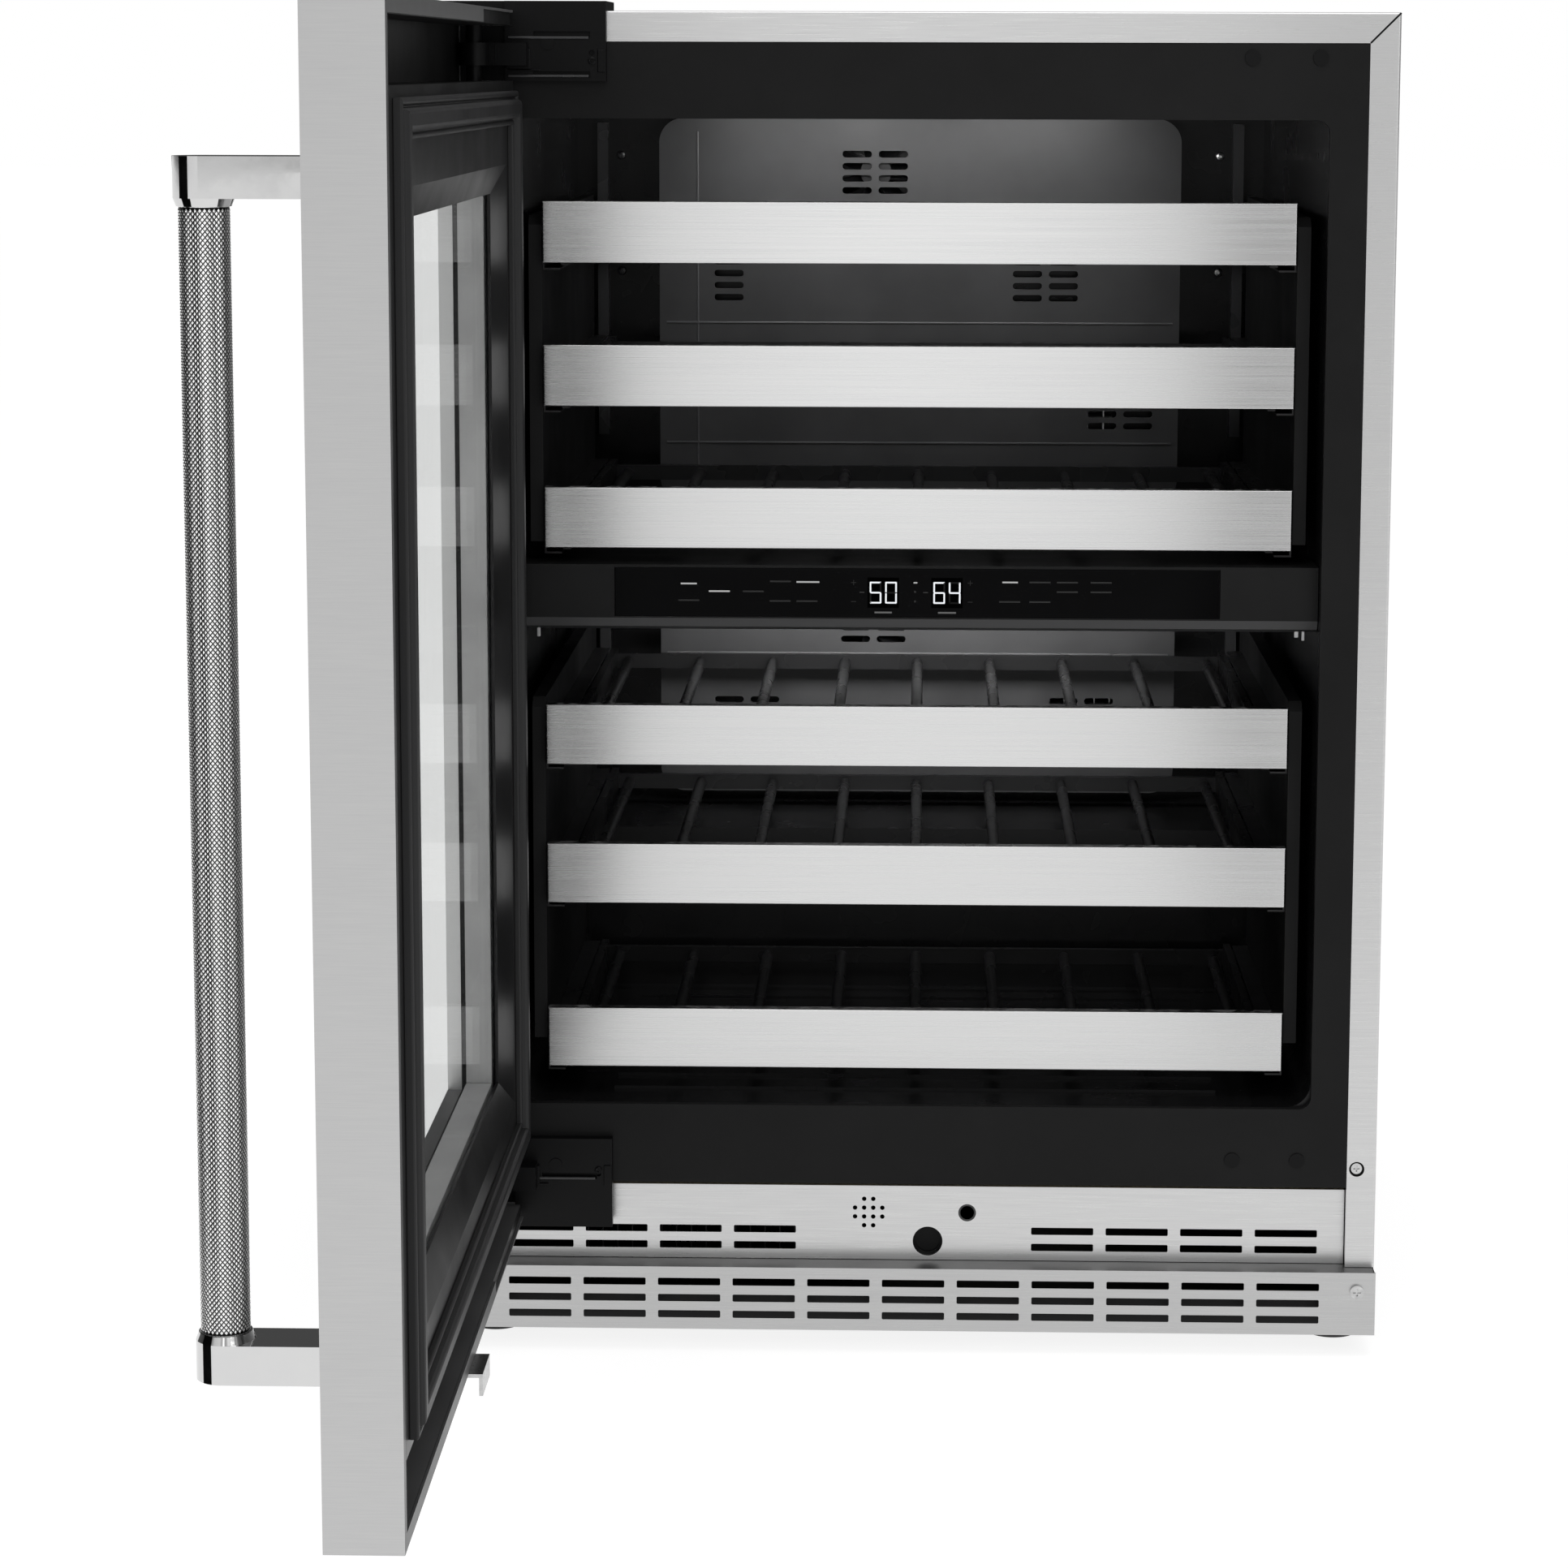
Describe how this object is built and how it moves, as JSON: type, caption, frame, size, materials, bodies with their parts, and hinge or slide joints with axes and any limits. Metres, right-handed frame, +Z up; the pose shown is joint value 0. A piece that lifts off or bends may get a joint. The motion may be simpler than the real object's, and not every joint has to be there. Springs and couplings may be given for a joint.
{
  "type": "wine cooler",
  "caption": "Built-in dual-zone wine cooler with a glazed stainless door, tall knurled handle, sliding racks on telescopic slides, touch control bar and vented toe kick.",
  "frame": {"origin": "on the floor, midway across the cabinet's width, in the plane of the cabinet's front trim", "axes": "+X to the right seen from the front, +Y to the back, +Z up"},
  "size_m": [0.6672, 1.1767, 0.879],
  "materials": {
    "brushed_stainless": "satin",
    "rack_steel": "satin",
    "case_steel": "satin",
    "galvanised": "satin",
    "black_frame": "satin",
    "black_liner": "satin",
    "door_moulding": "satin",
    "gasket_rubber": "matte",
    "black_metal": "satin",
    "chrome": "polished",
    "knurled_grip": "satin",
    "clear_glass": "polished",
    "panel_glass": "gloss",
    "board": "satin",
    "light_diffuser": "satin",
    "foam": "matte",
    "aluminium": "satin",
    "fan_plastic": "satin",
    "foot_plastic": "matte",
    "zinc_screw": "satin"
  },
  "bodies": {
    "cabinet": {"outer_case": "case_steel", "back_panel": "galvanised", "base_pan": "galvanised", "inner_liner": "black_liner", "insulation_foam": "foam", "trim_top": "brushed_stainless", "trim_right": "brushed_stainless", "trim_left": "brushed_stainless", "front_frame": "black_frame", "hole_plugs": "black_frame", "upper_grille": "brushed_stainless", "toe_kick_grille": "brushed_stainless", "front_screws": "zinc_screw", "hinge_top_bracket": "black_metal", "hinge_bottom_bracket": "black_metal", "hinge_pins": "zinc_screw", "control_housing": "black_liner", "control_glass": "panel_glass", "control_board": "board", "duct_cover_upper": "black_liner", "duct_cover_lower": "black_liner", "light_strips": "light_diffuser", "evaporator_coils": "aluminium", "condenser_coil": "black_metal", "condenser_shroud": "fan_plastic", "compressor": "black_metal", "power_box": "fan_plastic", "cord_gland": "fan_plastic", "slide_channels": "black_metal", "rack_holders": "black_frame"},
    "door": {"door_frame": "brushed_stainless", "door_liner": "door_moulding", "door_gasket": "gasket_rubber", "inner_glass": "clear_glass", "outer_glass": "clear_glass", "glass_spacer": "aluminium", "handle_grip": "knurled_grip", "handle_bracket_bottom": "chrome", "handle_bracket_top": "chrome", "lock_hook": "chrome"},
    "rack_1": {"rack_trim_1": "rack_steel", "rack_frame_1": "black_metal"},
    "rack_2": {"rack_trim_2": "rack_steel", "rack_frame_2": "black_metal"},
    "rack_3": {"rack_trim_3": "rack_steel", "rack_frame_3": "black_metal"},
    "rack_4": {"rack_trim_4": "rack_steel", "rack_frame_4": "black_metal"},
    "rack_5": {"rack_trim_5": "rack_steel", "rack_frame_5": "black_metal"},
    "rack_6": {"rack_trim_6": "rack_steel", "rack_frame_6": "black_metal"},
    "lock_barrel": {"lock_barrel": "black_metal"},
    "fan_upper": {"fan_upper": "fan_plastic"},
    "fan_lower": {"fan_lower": "fan_plastic"},
    "condenser_fan": {"condenser_fan": "fan_plastic"},
    "foot_front_left": {"foot_front_left": "foot_plastic"},
    "foot_front_right": {"foot_front_right": "foot_plastic"},
    "foot_rear_left": {"foot_rear_left": "foot_plastic"},
    "foot_rear_right": {"foot_rear_right": "foot_plastic"}
  },
  "joints": [
    {"name": "door_swing", "type": "hinge", "parent": "cabinet", "child": "door", "pos_m": [-0.27895, -0.03125, 0.48], "axis": [0, 0, -1], "range_deg": [-90, 20]},
    {"name": "rack_1_slide", "type": "slide", "parent": "cabinet", "child": "rack_1", "axis": [0, -1, 0], "range_m": [0, 0.3]},
    {"name": "rack_2_slide", "type": "slide", "parent": "cabinet", "child": "rack_2", "axis": [0, -1, 0], "range_m": [0, 0.3]},
    {"name": "rack_3_slide", "type": "slide", "parent": "cabinet", "child": "rack_3", "axis": [0, -1, 0], "range_m": [0, 0.3]},
    {"name": "rack_4_slide", "type": "slide", "parent": "cabinet", "child": "rack_4", "axis": [0, -1, 0], "range_m": [0, 0.3]},
    {"name": "rack_5_slide", "type": "slide", "parent": "cabinet", "child": "rack_5", "axis": [0, -1, 0], "range_m": [0, 0.3]},
    {"name": "rack_6_slide", "type": "slide", "parent": "cabinet", "child": "rack_6", "axis": [0, -1, 0], "range_m": [0, 0.22]},
    {"name": "lock_turn", "type": "hinge", "parent": "cabinet", "child": "lock_barrel", "pos_m": [0.0094, 0.024, 0.0699], "axis": [0, -1, 0], "range_deg": [0, 90]},
    {"name": "turn_condenser_fan", "type": "hinge", "parent": "cabinet", "child": "condenser_fan", "pos_m": [-0.135, 0.197, 0.064], "axis": [0, 1, 0], "continuous": true},
    {"name": "turn_fan_lower", "type": "hinge", "parent": "cabinet", "child": "fan_lower", "pos_m": [-0.033, 0.467, 0.42], "axis": [0, 1, 0], "continuous": true},
    {"name": "turn_fan_upper", "type": "hinge", "parent": "cabinet", "child": "fan_upper", "pos_m": [-0.033, 0.467, 0.76], "axis": [0, 1, 0], "continuous": true},
    {"name": "screw_foot_front_left", "type": "slide", "parent": "cabinet", "child": "foot_front_left", "axis": [0, 0, -1], "range_m": [0, 0.02]},
    {"name": "screw_foot_front_right", "type": "slide", "parent": "cabinet", "child": "foot_front_right", "axis": [0, 0, -1], "range_m": [0, 0.02]},
    {"name": "screw_foot_rear_left", "type": "slide", "parent": "cabinet", "child": "foot_rear_left", "axis": [0, 0, -1], "range_m": [0, 0.02]},
    {"name": "screw_foot_rear_right", "type": "slide", "parent": "cabinet", "child": "foot_rear_right", "axis": [0, 0, -1], "range_m": [0, 0.02]}
  ]
}
